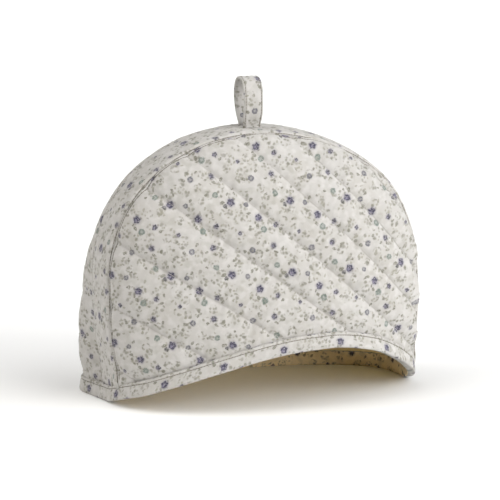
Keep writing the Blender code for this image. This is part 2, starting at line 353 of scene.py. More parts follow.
def panel_normals(face, along, up):
    """Outward directions of a panel's face, level at the hem band and along the seam's plane."""
    a, u, step = np.clip(along, -0.985, 0.985), np.clip(up, 0.006, 0.993), 0.004
    rise = panel_surface(face, a, u + step) - panel_surface(face, a, u - step)
    run = panel_surface(face, a + step, u) - panel_surface(face, a - step, u)
    normals = unit(np.cross(run, rise) * -DEPTH_SIGN[face])
    above_band = panel_surface(face, along, up)[..., 2] - PANEL_FOOT[face](along)[..., 2]
    normals[..., 2] *= np.minimum(1, above_band / (2 * PANEL_THICKNESS))
    at_seam = smooth((up - 0.99) / 0.01)[..., None]
    normals = unit(normals) * (1 - at_seam) + seam_normal(along, face) * at_seam
    at_corner = smooth((np.abs(along) - 0.96) / 0.04)[..., None]
    return unit(normals * (1 - at_corner) + stack(side_of(along), 0, 0) * at_corner)


def ripple(at, lengths, phase):
    """An uneven wave between about -1 and 1, a sum of waves of these lengths."""
    total = sum(
        np.sin(2 * np.pi * at / length + phase * (1.3 + 0.7 * i) + 2.1 * i)
        for i, length in enumerate(lengths)
    )
    return total / len(lengths) ** 0.7


def quilt_lines(x, z):
    """The nearest quilting line to each place: signed distance, number and way along it."""
    heights = np.array([row["height"] for row in QUILT_ROWS]) * CM
    slopes = np.radians([row["slope"] for row in QUILT_ROWS])
    above = z[..., None] - heights
    distance = above * np.cos(slopes) + x[..., None] * np.sin(slopes)
    nearest = np.argmin(np.abs(distance), axis=-1)[..., None]
    way = x[..., None] * np.cos(slopes) - above * np.sin(slopes)
    pick = [np.take_along_axis(values, nearest, -1)[..., 0] for values in (distance, way)]
    return pick[0], nearest[..., 0], pick[1]


def quilt_drop(x, z, depth, pucker):
    """How far the quilting draws the cloth in, with the small puckers beside each line."""
    distance, line, way = quilt_lines(x, z)
    away = np.abs(distance)
    uneven = ripple(way, (31 * MM, 19 * MM, 47 * MM), line * 1.9)
    width = np.where(distance < 0, 8.5 * MM, 6.0 * MM) * (1 + 0.2 * uneven)
    crease = np.exp(-((away / width) ** 0.85))
    tucks = ripple(way + 0.35 * distance, (13 * MM, 8.5 * MM, 21 * MM), line * 2.7 + 1)
    beside = np.exp(-away / (8 * MM)) * (1 - np.exp(-away / (1.6 * MM)))
    return depth * crease * (1 + 0.18 * uneven) + pucker * tucks * beside


def arc_lengths(points, axis):
    """Running length along the rows or columns of a grid of points, from 0."""
    steps = np.linalg.norm(np.diff(points, axis=axis), axis=-1)
    start = np.zeros_like(np.take(steps, [0], axis=axis))
    return np.concatenate([start, np.cumsum(steps, axis=axis)], axis=axis)


def flatten_cloth(points, face):
    """Lays a panel's cloth flat, in centimetres, so that the print bends with it."""
    turn = np.radians(PRINT_VIEW[face])
    across = (points[..., 0] * np.cos(turn) - points[..., 1] * np.sin(turn)) / np.cos(
        np.radians(PRINT_VIEW["front"]) if face == "front" else 0
    )
    flat = np.stack([across, points[..., 2]], axis=-1)
    even = PRINT_EVENNESS[face]
    pairs = []
    for down, right in ((0, 1), (1, 0), (1, 1), (1, -1), (0, 3), (3, 0)):
        first = (slice(0, flat.shape[0] - down), slice(max(0, -right), flat.shape[1] - max(0, right)))
        second = (slice(down, None), slice(max(0, right), flat.shape[1] + min(0, right)))
        real = np.linalg.norm(points[first] - points[second], axis=-1)
        seen = np.linalg.norm(flat[first] - flat[second], axis=-1)
        pairs.append((first, second, even * seen + (1 - even) * real))
    for _ in range(FLATTEN_ROUNDS):
        moves = np.zeros_like(flat)
        for first, second, rest in pairs:
            between = flat[second] - flat[first]
            length = np.maximum(np.linalg.norm(between, axis=-1), 1e-9)
            pull = (0.5 * (1 - rest / length))[..., None] * between
            moves[first] += pull
            moves[second] -= pull
        flat = flat + moves * FLATTEN_PULL
    middle = flat[0, flat.shape[1] // 2]
    return (flat - middle + (0, points[0, points.shape[1] // 2, 2])) / CM


def spread_out(coarse, rows, columns):
    """Reads a coarse grid of flat places at a finer grid's rows and columns."""
    tall, wide = coarse.shape[:2]
    r = np.linspace(0, tall - 1, rows)
    c = np.linspace(0, wide - 1, columns)
    r0, c0 = np.minimum(r.astype(int), tall - 2), np.minimum(c.astype(int), wide - 2)
    fr, fc = (r - r0)[:, None, None], (c - c0)[None, :, None]
    top = coarse[r0][:, c0] * (1 - fc) + coarse[r0][:, c0 + 1] * fc
    bottom = coarse[r0 + 1][:, c0] * (1 - fc) + coarse[r0 + 1][:, c0 + 1] * fc
    return top * (1 - fr) + bottom * fr


def frame_shift():
    """How far the frame's pieces stand from this script's middle."""
    low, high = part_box("loop")
    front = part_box("gusset")[0].y + (GUSSET_WIDTH - PIECE_GAP) / 2
    return Vector(((low.x + high.x) / 2 - LOOP_X, front, 0))


SHIFT = frame_shift()


def grid_faces(rows, columns, first):
    """The four corners of every cell of a grid whose points are numbered from first."""
    numbers = first + np.arange(rows * columns).reshape(rows, columns)
    corners = (numbers[:-1, :-1], numbers[:-1, 1:], numbers[1:, 1:], numbers[1:, :-1])
    return np.stack([c.ravel() for c in corners], axis=1), numbers


def strip_faces(one, other):
    """The four corners of every cell between two equally long lines of points."""
    return np.stack([one[:-1], one[1:], other[1:], other[:-1]], axis=1)


def cloth_object(name, points, faces, flat, inside, materials):
    """Makes a mesh object of these faces, with its cloth coordinates and its materials."""
    mesh = bpy.data.meshes.new(name)
    mesh.from_pydata(points.tolist(), [], faces.tolist())
    corner = np.empty(len(mesh.loops), np.int32)
    mesh.loops.foreach_get("vertex_index", corner)
    mesh.uv_layers.new(name="cloth").data.foreach_set("uv", flat[corner].astype(np.float32).ravel())
    mesh.polygons.foreach_set("material_index", inside.astype(np.int32))
    bm = bmesh.new()
    bm.from_mesh(mesh)
    bmesh.ops.remove_doubles(bm, verts=bm.verts, dist=0.00001)
    bmesh.ops.dissolve_degenerate(bm, edges=bm.edges, dist=0.000002)
    bmesh.ops.recalc_face_normals(bm, faces=bm.faces)
    bmesh.ops.translate(bm, verts=bm.verts, vec=SHIFT)
    bm.to_mesh(mesh)
    bm.free()
    for material in materials:
        mesh.materials.append(material)
    mesh.shade_smooth()
    obj = bpy.data.objects.new(name, mesh)
    bpy.context.scene.collection.objects.link(obj)
    return obj


def sew_sheet(name, outer, inner, flat_outer, flat_inner, materials, open_ends):
    """Closes an outer and an inner layer round their edges into one piece of cloth."""
    outer_faces, outer_at = grid_faces(*outer.shape[:2], 0)
    inner_faces, inner_at = grid_faces(*inner.shape[:2], outer_at.size)
    strips = [strip_faces(outer_at[0], inner_at[0]), strip_faces(outer_at[-1], inner_at[-1])]
    if open_ends:
        strips.append(strip_faces(outer_at[:, 0], inner_at[:, 0]))
        strips.append(strip_faces(outer_at[:, -1], inner_at[:, -1]))
    faces = np.concatenate([outer_faces, inner_faces, *strips])
    lined = np.zeros(len(faces))
    lined[len(outer_faces) : len(outer_faces) + len(inner_faces)] = 1
    points = np.concatenate([outer.reshape(-1, 3), inner.reshape(-1, 3)])
    flat = np.concatenate([flat_outer.reshape(-1, 2), flat_inner.reshape(-1, 2)])
    return cloth_object(name, points, faces, flat, lined, materials)


def tuck_under(points, outs, down, inward):
    """The row that carries a cloth's lower edge down behind the hem band."""
    return points - outs * inward - np.array((0, 0, down))


def panel_layers(face, cloth):
    """A panel's unquilted face, its directions, its quilting's drop and where each place lies."""
    steps = np.linspace(0, 1, PANEL_ROWS + 1) ** 1.35
    up, along = np.meshgrid(
        np.sin(np.pi / 2 * steps), np.linspace(-1, 1, PANEL_COLUMNS + 1), indexing="ij"
    )
    base = panel_surface(face, along, up)
    normals = panel_normals(face, along, up)
    from_foot = arc_lengths(base, 0)
    from_seam = from_foot[-1] - from_foot
    edge = np.minimum(from_foot, from_seam)
    x, z = -DEPTH_SIGN[face] * base[..., 0], base[..., 2]
    share = QUILT_SHARE[face] * (1 - SEAM_CALM[face] * np.exp(-((from_seam / CALM_REACH) ** 2)))
    drop = quilt_drop(x, z, cloth.quilt_depth * share, cloth.pucker_height * share)
    hemmed = np.exp(-((edge / (4.5 * MM)) ** 1.2))
    gathers = ripple(x + z, (9 * MM, 14 * MM, 23 * MM), 3.0) * np.exp(-edge / (9 * MM))
    broad = ripple(x - 0.6 * z, (7.3 * CM, 11.9 * CM), 1.0) + ripple(x + z, (9.1 * CM,), 4.0)
    swell = 0.35 * MM * broad * (1 - hemmed)
    drop = drop * (1 - 0.6 * hemmed) + cloth.seam_depth * hemmed
    drop = np.minimum(drop + 0.35 * MM * gathers * (1 - hemmed) - swell, DEEPEST)
    welt = np.exp(-(((from_seam - cloth.topstitch_inset / 2) / (1.1 * MM)) ** 2))
    groove = np.exp(-(((from_seam - cloth.topstitch_inset) / (0.8 * MM)) ** 2))
    drop = drop - 0.6 * MM * welt + 0.6 * MM * groove
    return base, normals, drop, from_seam, (x, z)


def make_panel(face, name, cloth, materials):
    """Sews one quilted panel and returns it with the lines of its quilting and topstitching."""
    base, normals, drop, from_seam, seen = panel_layers(face, cloth)
    outer = base - normals * drop[..., None]
    rows = np.append(np.arange(0, PANEL_ROWS, LINING_STEP), PANEL_ROWS)
    depth = PANEL_THICKNESS - LINING_DRAW * drop.clip(0)
    inner = (base - normals * depth[..., None])[rows]
    columns = np.arange(0, PANEL_COLUMNS + 1, FLATTEN_STEP)
    coarse_rows = np.linspace(0, PANEL_ROWS, PANEL_ROWS // FLATTEN_STEP + 1).round().astype(int)
    coarse = flatten_cloth(base[coarse_rows][:, columns], face)
    flat = spread_out(coarse, PANEL_ROWS + 1, PANEL_COLUMNS + 1)
    flat_inner = flat[rows]
    tucked = tuck_under(outer[0], normals[0], TUCK_DOWN, TUCK_IN)[None]
    piece = sew_sheet(
        name,
        np.concatenate([tucked, outer]),
        np.concatenate([inner[:1], inner]),
        np.concatenate([flat[:1] - (0, TUCK_DOWN / CM), flat]),
        np.concatenate([flat_inner[:1], flat_inner]),
        materials,
        False,
    )
    beside_seam = level_line(outer, normals, from_seam, cloth.topstitch_inset)
    return piece, {"quilting": quilt_stitches(outer, normals, *seen), "topstitching": [beside_seam]}


def level_line(outer, normals, away, level):
    """The line over a cloth's columns along which a distance has one value."""
    columns = [c for c in range(outer.shape[1]) if away[0, c] > 2 * level]
    rows = np.array([np.interp(-level, -away[:, c], np.arange(len(away))) for c in columns])
    low, share = rows.astype(int), (rows % 1)[:, None]
    places = outer[low, columns] * (1 - share) + outer[low + 1, columns] * share
    return places, normals[low, columns]


def quilt_stitches(outer, normals, x, z):
    """Places along the quilting lines, where the thread lies in the valleys."""
    lines = []
    for row in QUILT_ROWS:
        slope = np.radians(row["slope"])
        above = z - row["height"] * CM
        side = above * np.cos(slope) + x * np.sin(slope)
        way = x * np.cos(slope) - above * np.sin(slope)
        r, c = np.nonzero((side[:-1] < 0) & (side[1:] >= 0))
        if len(r) < 4:
            continue
        share = (side[r, c] / (side[r, c] - side[r + 1, c]))[:, None]
        order = np.argsort(way[r, c])
        places = outer[r, c] * (1 - share) + outer[r + 1, c] * share
        lines.append((places[order], unit(normals[r, c])[order]))
    return lines


def stitch_places(lines, length, gap):
    """Evenly spaced places along lines of points: places, ways along and ways out."""
    found = []
    for places, outs in lines:
        run = arc_lengths(places, 0)
        keep = np.append(True, np.diff(run) > 1e-7)
        run, places, outs = run[keep], places[keep], outs[keep]
        count = int((run[-1] - length) / (length + gap))
        if count < 1:
            continue
        middles = length / 2 + np.arange(count + 1) * (run[-1] - length) / count
        ends = [np.clip(middles + s * length / 2, 0, run[-1]) for s in (-1, 1)]
        a, b = (np.stack([np.interp(e, run, places[:, i]) for i in range(3)], 1) for e in ends)
        out = np.stack([np.interp(middles, run, outs[:, i]) for i in range(3)], 1)
        found.append(((a + b) / 2, unit(b - a), unit(out)))
    return [np.concatenate(parts) for parts in zip(*found)]


def stitch_tree():
    """A Geometry Nodes tree that lays one stitch on every point, along its own direction."""
    tree = bpy.data.node_groups.new("lay stitches", "GeometryNodeTree")
    socket = tree.interface.new_socket
    socket("Geometry", in_out="INPUT", socket_type="NodeSocketGeometry")
    for label in ("Stitch Length", "Thread Width"):
        socket(label, in_out="INPUT", socket_type="NodeSocketFloat").subtype = "DISTANCE"
    socket("Thread", in_out="INPUT", socket_type="NodeSocketMaterial")
    socket("Geometry", in_out="OUTPUT", socket_type="NodeSocketGeometry")
    nodes, link = tree.nodes, tree.links.new
    sizes, result = nodes.new("NodeGroupInput"), nodes.new("NodeGroupOutput")
    bead = nodes.new("GeometryNodeMeshUVSphere")
    bead.inputs["Segments"].default_value = 8
    bead.inputs["Rings"].default_value = 6
    bead.inputs["Radius"].default_value = 0.5
    size = nodes.new("ShaderNodeCombineXYZ")
    link(sizes.outputs["Stitch Length"], size.inputs["X"])
    link(sizes.outputs["Thread Width"], size.inputs["Y"])
    link(sizes.outputs["Thread Width"], size.inputs["Z"])
    turns = []
    for axis, pivot, attribute in (("X", "AUTO", "stitch_along"), ("Z", "X", "stitch_out")):
        named = nodes.new("GeometryNodeInputNamedAttribute")
        named.data_type = "FLOAT_VECTOR"
        named.inputs["Name"].default_value = attribute
        turn = nodes.new("FunctionNodeAlignRotationToVector")
        turn.axis, turn.pivot_axis = axis, pivot
        link(named.outputs["Attribute"], turn.inputs["Vector"])
        if turns:
            link(turns[-1].outputs["Rotation"], turn.inputs["Rotation"])
        turns.append(turn)
    lay = nodes.new("GeometryNodeInstanceOnPoints")
    real = nodes.new("GeometryNodeRealizeInstances")
    paint = nodes.new("GeometryNodeSetMaterial")
    link(sizes.outputs["Thread"], paint.inputs["Material"])
    link(sizes.outputs["Geometry"], lay.inputs["Points"])
    link(bead.outputs["Mesh"], lay.inputs["Instance"])
    link(turns[-1].outputs["Rotation"], lay.inputs["Rotation"])
    link(size.outputs["Vector"], lay.inputs["Scale"])
    link(lay.outputs["Instances"], real.inputs["Geometry"])
    link(real.outputs["Geometry"], paint.inputs["Geometry"])
    link(paint.outputs["Geometry"], result.inputs["Geometry"])
    return tree


def sew_stitches(name, lines, cloth, material):
    """Lays stitches along lines of points and keeps them as one plain mesh."""
    gap = cloth.stitch_length * cloth.stitch_gap
    places, ways, outs = stitch_places(lines, cloth.stitch_length, gap)
    mesh = bpy.data.meshes.new(name + "_places")
    raised = places + outs * cloth.thread_width * 0.4
    mesh.from_pydata((raised + np.array(SHIFT)).tolist(), [], [])
    for label, vectors in (("stitch_along", ways), ("stitch_out", outs)):
        attribute = mesh.attributes.new(label, "FLOAT_VECTOR", "POINT")
        attribute.data.foreach_set("vector", vectors.astype(np.float32).ravel())
    points = bpy.data.objects.new(name + "_places", mesh)
    bpy.context.scene.collection.objects.link(points)
    modifier = points.modifiers.new("stitches", "NODES")
    modifier.node_group = bpy.data.node_groups.get("lay stitches") or stitch_tree()
    values = {
        "Stitch Length": cloth.stitch_length,
        "Thread Width": cloth.thread_width,
        "Thread": material,
    }
    for socket in modifier.node_group.interface.items_tree:
        if socket.name in values:
            modifier[socket.identifier] = values[socket.name]
    evaluated = points.evaluated_get(bpy.context.evaluated_depsgraph_get())
    sewn = bpy.data.meshes.new_from_object(evaluated)
    sewn.name = name
    sewn.shade_smooth()
    thread = bpy.data.objects.new(name, sewn)
    bpy.context.scene.collection.objects.link(thread)
    bpy.data.objects.remove(points, do_unlink=True)
    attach(thread, "root")
    return thread


def gusset_base(along, across):
    """The gusset's face before its seams, and its outward directions."""
    fx, fz = seam_xz(along, "front")
    bx, bz = seam_xz(along, "back")
    y = (across - 0.5) * GUSSET_WIDTH
    base = stack(fx + (bx - fx) * across, y, fz + (bz - fz) * across)
    share = across[..., None]
    normals = unit(seam_normal(along, "front") * (1 - share) + seam_normal(along, "back") * share)
    crown = GUSSET_CROWN * (1 - (2 * across - 1) ** 2) * np.minimum(1, 6 * (1 - np.abs(along)))
    return base + normals * crown[..., None], normals


def seam_relief(edge, cloth):
    """The ditch of a seam and the cloth's swell beside it, as a drop."""
    ditch = cloth.seam_depth * np.exp(-((edge / (0.9 * MM)) ** 1.4))
    return ditch - 0.4 * MM * np.exp(-(((edge - 2.2 * MM) / (1.4 * MM)) ** 2))


def make_gusset(name, cloth, materials):
    """Sews the gusset and returns it with the thread lines in its two seams."""
    sides = np.linspace(-1, 1, GUSSET_ROWS + 1)
    across_at = 0.5 + 0.5 * np.sign(sides) * (1 - (1 - np.abs(sides)) ** 1.5)
    across, along = np.meshgrid(across_at, np.linspace(-1, 1, GUSSET_COLUMNS + 1), indexing="ij")
    base, normals = gusset_base(along, across)
    edge = np.minimum(across, 1 - across) * GUSSET_WIDTH
    run = arc_lengths(base, 1)
    drop = seam_relief(edge, cloth)
    gathers = ripple(run + across * 2 * MM, (8 * MM, 12.5 * MM, 19 * MM), 2.0)
    drop = drop + 0.16 * MM * gathers * np.exp(-edge / (6 * MM))
    folds = ripple(across * GUSSET_WIDTH + 0.04 * run, (11 * MM, 17 * MM), 1.0)
    lower = smooth((np.abs(along) - 0.45) / 0.35) * smooth(edge / (8 * MM))
    drop = drop + 0.25 * MM * folds * lower
    outer = base - normals * drop[..., None]
    inner = base - normals * GUSSET_THICKNESS
    middle = GUSSET_ROWS // 2
    flat = np.stack([(across - 0.5) * GUSSET_WIDTH, np.broadcast_to(run[middle], run.shape)], -1) / CM
    first, last = (tuck_under(outer[:, i], normals[:, i], 1.4 * TUCK_DOWN, TUCK_IN) for i in (0, -1))
    piece = sew_sheet(
        name,
        np.concatenate([first[:, None], outer, last[:, None]], 1),
        np.concatenate([inner[:, :1], inner, inner[:, -1:]], 1),
        np.concatenate([flat[:, :1], flat, flat[:, -1:]], 1),
        np.concatenate([flat[:, :1], flat, flat[:, -1:]], 1),
        materials,
        True,
    )
    return piece, {"topstitching": [(outer[r], normals[r]) for r in (0, -1)]}


def ease_round(ring, spread):
    """Smooths a closed line of points, so that its corners turn softly."""
    reach = int(3 * spread)
    weights = np.exp(-0.5 * (np.arange(-reach, reach + 1) / spread) ** 2)
    weights = weights / weights.sum()
    padded = np.concatenate([ring[-1 - reach : -1], ring, ring[1 : 1 + reach]])
    return np.stack([np.convolve(padded[:, i], weights, mode="valid") for i in range(3)], 1)


def hem_line():
    """Places round the hem band's top from the middle of the back, with the hem's height there."""
    spread = np.linspace(-1, 1, 801)
    sides = np.linspace(0, 1, 81)[1:-1, None]
    settling = np.maximum(0, 1 - sides[:, 0] / GUSSET_CONTACT) ** GUSSET_CONTACT_CURVE
    lift_right, lift_left = front_lift(1.0) * settling, front_lift(-1.0) * settling
    front, back = front_foot(spread), back_foot(spread)
    right = front[-1] * (1 - sides) + back[-1] * sides
    left = front[0] * (1 - sides) + back[0] * sides
    right[:, 2], left[:, 2] = lift_right + BAND_HEIGHT, lift_left + BAND_HEIGHT
    half = len(spread) // 2
    to_left, to_right = (back[half::-1], left[::-1]), (right, back[:half:-1])
    line = np.concatenate([*to_left, front, *to_right, back[half : half + 1]])
    run = arc_lengths(line, 0)
    at = np.linspace(0, run[-1], BAND_STEPS + 1)
    line = np.stack([np.interp(at, run, line[:, i]) for i in range(3)], 1)
    feet = (front[0], front[-1], back[0], back[-1])
    corners = np.min([np.linalg.norm(line - foot, axis=1) for foot in feet], axis=0)
    near = np.exp(-((corners / CORNER_REACH) ** 2))[:, None]
    crisp, soft = (ease_round(line, length / at[1]) for length in (BAND_EASE, CORNER_EASE))
    line = crisp * (1 - near) + soft * near
    ways = np.gradient(np.concatenate([line[-2:-1], line, line[1:2]]), axis=0)[1:-1]
    outs = ease_round(np.stack([ways[:, 1], -ways[:, 0], np.zeros(len(ways))], 1), BAND_EASE / at[1])
    return line, unit(outs), at


def make_band(name, cloth, materials):
    """Sews the hem band and returns it with the places of its topstitched line."""
    line, outs, run = hem_line()
    if np.mean(np.sum(outs * line * (1, 1, 0), axis=1)) < 0:
        outs = -outs
    out = np.array([row["out"] for row in BAND_SECTION])[:, None] * MM
    down = np.array([row["down"] for row in BAND_SECTION])[:, None] * MM
    outside = smooth((out + 1 * MM) / (1.5 * MM))
    tucks = ripple(run, (8 * MM, 13 * MM, 20 * MM), 1.0)
    slow = ripple(run, (4.3 * CM, 7.1 * CM), 2.0)
    near_stitch = np.exp(-(((down - 4.5 * MM) / (3.5 * MM)) ** 2))
    out = out + outside * (0.2 * MM * tucks * near_stitch + 0.35 * MM * slow * smooth(down / (8 * MM)))
    points = line + outs * out[..., None]
    points[..., 2] = line[:, 2] - down * np.ones_like(run)
    section = np.stack([out[:, 0], down[:, 0]], -1)
    height = -arc_lengths(section, 0)[:, None]
    flat = np.stack(np.broadcast_arrays(run, height), -1) / CM
    points = np.concatenate([points, points[:1]])
    flat = np.concatenate([flat, flat[-1:] + (0, -0.2)])
    faces = grid_faces(*points.shape[:2], 0)[0]
    # Faces from BAND_TURN_ROW on are the band's inside, given the turned cotton whose warm tan ground is
    # painted warm bounce light.
    turned = np.arange(len(faces)) // (points.shape[1] - 1) >= BAND_TURN_ROW
    piece = cloth_object(name, points.reshape(-1, 3), faces, flat.reshape(-1, 2), turned, materials)
    return piece, {"topstitching": [(points[BAND_STITCH_ROW], outs)]}


def loop_path(share):
    """Places along the loop's inner line."""
    last = LOOP_ROWS[-1]["step"]
    y = table_curve(LOOP_ROWS, "step", "y", share * last) * CM
    z = table_curve(LOOP_ROWS, "step", "z", share * last) * CM
    top, _ = gusset_base(np.zeros_like(share), 0.5 + y / GUSSET_WIDTH)
    return stack(0, y, top[..., 2] + LOOP_GAP + z)


def make_loop(name, cloth, materials):
    """Sews the folded loop and returns it with the places of its two stitched edges."""
    ring = np.linspace(0, 1, LOOP_STEPS + 1)
    path = loop_path(ring)
    ways = np.gradient(path, axis=0)
    ways[[0, -1], 1] = 0
    outs = unit(np.stack([np.zeros(len(ring)), -ways[:, 2], ways[:, 1]], 1))
    run = arc_lengths(path, 0)
    sides = np.linspace(-1, 1, LOOP_COLUMNS + 1)
    sides = np.sign(sides) * (1 - (1 - np.abs(sides)) ** 1.6)
    round_off = np.sqrt(1 - ((np.abs(sides) - 0.88).clip(0) / 0.12) ** 2 * 0.98)
    groove = np.exp(-(((np.abs(sides) - 0.8) / 0.05) ** 2))
    creases = ripple(sides * 9.5 * MM, (5.5 * MM, 9 * MM), 2.0)
    lean = 1 - 0.09 * np.exp(-((run / (9 * MM)) ** 2)) - 0.09 * np.exp(-(((run[-1] - run) / (9 * MM)) ** 2))
    layers = []
    for half in (1, -1):
        thick = LOOP_THICKNESS / 2 * (1 + half * round_off - half * 0.28 * groove)
        thick = thick + 0.16 * MM * creases * half
        points = path[None] + outs[None] * thick[:, None, None]
        points[..., 0] = LOOP_X + sides[:, None] * lean * LOOP_WIDTH / 2
        layers.append(points)
    flat = np.stack(np.broadcast_arrays(sides[:, None] * LOOP_WIDTH / 2, run), -1) / CM
    flat = flat + (1.9, 0.4)
    piece = sew_sheet(name, layers[0], layers[1], flat, flat + (0, 2.7), materials, True)
    rows = [int(np.argmin(np.abs(sides - at))) for at in (-0.8, 0.8)]
    return piece, {"topstitching": [(layers[0][r], outs) for r in rows]}


# How far apart the print's loose sprays of small dabs stand, in millimetres.
SPRAY_SPACING = 11.5

# The print: each motif's place in its repeat, its size and its turn, in millimetres and degrees.
FLOWERS = (
    {"x": 0, "y": 0, "radius": 3.9, "petals": 5, "turn": 20, "ink": "navy"},
    {"x": 26.5, "y": -14, "radius": 3.7, "petals": 5, "turn": 60, "ink": "navy"},
    {"x": 43.5, "y": -21, "radius": 2.6, "petals": 5, "turn": 0, "ink": "slate"},
    {"x": 40, "y": 25, "radius": 2.9, "petals": 5, "turn": 35, "ink": "slate"},
    {"x": 8, "y": -28, "radius": 2.0, "petals": 4, "turn": 10, "ink": "slate"},
)
RINGS = (
    {"x": 15, "y": -2, "radius": 2.3, "ink": "blue"},
    {"x": 20, "y": 21.5, "radius": 2.7, "ink": "blue"},
    {"x": 31, "y": -25, "radius": 2.9, "ink": "green"},
    {"x": 43, "y": 7, "radius": 2.6, "ink": "green"},
    {"x": 52, "y": -3, "radius": 1.9, "ink": "slate"},
)
LEAVES = (
    {"x": -8, "y": 0, "long": 2.6, "wide": 1.5, "turn": 20},
    {"x": -5, "y": -4, "long": 1.9, "wide": 1.2, "turn": -40},
    {"x": -3, "y": 8, "long": 1.7, "wide": 1.2, "turn": 60},
    {"x": 3.5, "y": 8.5, "long": 1.7, "wide": 1.1, "turn": 100},
    {"x": 19.5, "y": 2.5, "long": 2.0, "wide": 1.3, "turn": 55},
    {"x": 17, "y": -10, "long": 2.1, "wide": 1.3, "turn": 15},
    {"x": 25, "y": -22, "long": 2.3, "wide": 1.5, "turn": 120},
    {"x": 23, "y": -18.5, "long": 1.6, "wide": 1.0, "turn": 70},
    {"x": 48.5, "y": -25, "long": 2.0, "wide": 1.4, "turn": 30},
    {"x": 25, "y": 28, "long": 2.0, "wide": 1.2, "turn": 50},
    {"x": 13, "y": 20.5, "long": 2.0, "wide": 1.4, "turn": 150},
    {"x": 49, "y": 22, "long": 2.1, "wide": 1.4, "turn": 70},
    {"x": 42, "y": 19, "long": 2.2, "wide": 1.2, "turn": -20},
    {"x": 34, "y": 21, "long": 1.8, "wide": 1.1, "turn": 10},
    {"x": 34, "y": 7, "long": 1.4, "wide": 1.2, "turn": 0},
    {"x": 2, "y": 13, "long": 1.4, "wide": 1.1, "turn": 0},
)
SPRIGS = (
    {"x": 1, "y": -23, "long": 1.9, "wide": 1.0, "turn": 40},
    {"x": 4, "y": -25, "long": 1.6, "wide": 1.0, "turn": 90},
    {"x": 12, "y": -30, "long": 1.6, "wide": 0.9, "turn": 10},
    {"x": 50, "y": -7, "long": 1.9, "wide": 1.0, "turn": -35},
    {"x": 52, "y": -10, "long": 1.5, "wide": 0.9, "turn": 20},
    {"x": 33, "y": -5, "long": 1.9, "wide": 1.1, "turn": 70},
    {"x": 8, "y": 29, "long": 1.7, "wide": 1.0, "turn": 25},
    {"x": 29, "y": 12, "long": 1.6, "wide": 0.9, "turn": -60},
    {"x": 10, "y": 10, "long": 1.5, "wide": 0.9, "turn": 15},
    {"x": -10, "y": -10, "long": 1.7, "wide": 1.0, "turn": 60},
    {"x": 18, "y": -17, "long": 1.3, "wide": 0.8, "turn": 0},
)


def wire(tree, kind, inputs, **settings):
    """Adds a node, sets it up and fills its inputs with values or with other nodes' outputs."""
    node = tree.nodes.new(kind)
    for label, value in settings.items():
        setattr(node, label, value)
    for key, value in inputs.items():
        if isinstance(value, bpy.types.NodeSocket):
            tree.links.new(value, node.inputs[key])
        else:
            node.inputs[key].default_value = value
    return node


def number(tree, operation, *values):
    """A number worked out from other numbers."""
    node = wire(tree, "ShaderNodeMath", dict(enumerate(values)), operation=operation)
    return node.outputs[0]


def vector(tree, operation, *values):
    """A vector, or a length, worked out from other vectors."""
    node = wire(tree, "ShaderNodeVectorMath", dict(enumerate(values)), operation=operation)
    return node.outputs["Value" if operation == "LENGTH" else "Vector"]


def blend_colour(tree, share, below, above):
    """Lays one colour over another by a share."""
    node = wire(tree, "ShaderNodeMix", {0: share, 6: below, 7: above}, data_type="RGBA")
    return node.outputs[2]


def edge_mask(tree, value, outside, inside, most=1.0):
    """1 inside a motif and 0 outside it, with a soft edge."""
    places = {"Value": value, "From Min": outside, "From Max": inside, "To Max": most}
    node = wire(tree, "ShaderNodeMapRange", places, interpolation_type="SMOOTHSTEP")
    return node.outputs["Result"]


def repeat_place(tree, place, row, settings):
    """Place measured from a motif's middle, the same in every repeat of the print."""
    half = (settings.repeat_width / MM / 2, settings.repeat_height / MM / 2, 10)
    from_middle = vector(tree, "SUBTRACT", place, (row["x"], row["y"], 0))
    return vector(tree, "WRAP", from_middle, half, tuple(-h for h in half))


def dabs_mask(tree, place, rows, settings, most):
    """The mask of a set of small leaf-shaped dabs."""
    nearest = 9.0
    for row in rows:
        local = repeat_place(tree, place, row, settings)
        turn = (0, 0, np.radians(row["turn"]))
        sizes = {"Vector": local, "Rotation": turn, "Scale": (row["long"], row["wide"], 1)}
        shaped = wire(tree, "ShaderNodeMapping", sizes, vector_type="TEXTURE")
        reach = vector(tree, "LENGTH", shaped.outputs[0])
        nearest = number(tree, "MINIMUM", reach, nearest)
    return edge_mask(tree, nearest, 1.25, 0.7, most)


def scattered_dabs(tree, place, sprays, size, colour, ink, most):
    """Lays small soft dabs of an ink over a colour, in loose sprays."""
    cells = {"Vector": place, "Scale": 1 / size, "Randomness": 1.0}
    dabs = wire(tree, "ShaderNodeTexVoronoi", cells, voronoi_dimensions="2D")
    split = wire(tree, "ShaderNodeSeparateColor", {0: dabs.outputs["Color"]})
    grown = number(tree, "MULTIPLY_ADD", split.outputs[1], -0.14, dabs.outputs["Distance"])
    mask = edge_mask(tree, grown, 0.36, 0.02, most)
    deep = number(tree, "MULTIPLY_ADD", split.outputs[2], 0.5, 0.5)
    mask = number(tree, "MULTIPLY", number(tree, "MULTIPLY", mask, deep), sprays)
    return blend_colour(tree, mask, colour, ink)


